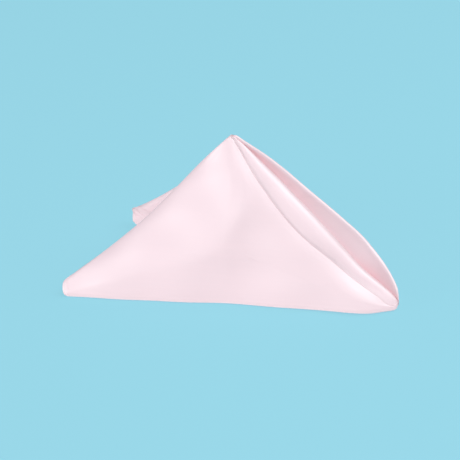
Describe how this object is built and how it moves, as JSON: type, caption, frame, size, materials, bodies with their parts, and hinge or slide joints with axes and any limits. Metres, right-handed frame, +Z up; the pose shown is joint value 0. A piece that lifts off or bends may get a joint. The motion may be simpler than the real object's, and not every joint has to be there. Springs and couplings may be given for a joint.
{
  "type": "satin napkin",
  "caption": "Square satin napkin in a pyramid fold that stands as an open tent, with one flap hanging loose along its ridge.",
  "frame": {"origin": "middle of the underside, on the table", "axes": "+Z up. The ridge lies in the plane Y = 0 and slopes down towards +X, where its foot is. The open mouth of the tent faces -X. The plain near panel faces -Y and the panel with the loose flap faces +Y."},
  "size_m": [0.2436, 0.149, 0.1202],
  "materials": {
    "satin": "pale pink polyester satin, soft sheen, shiny face out, fine warp-faced weave, turned and stitched hem"
  },
  "bodies": {
    "root": {"napkin": "satin"}
  },
  "joints": []
}
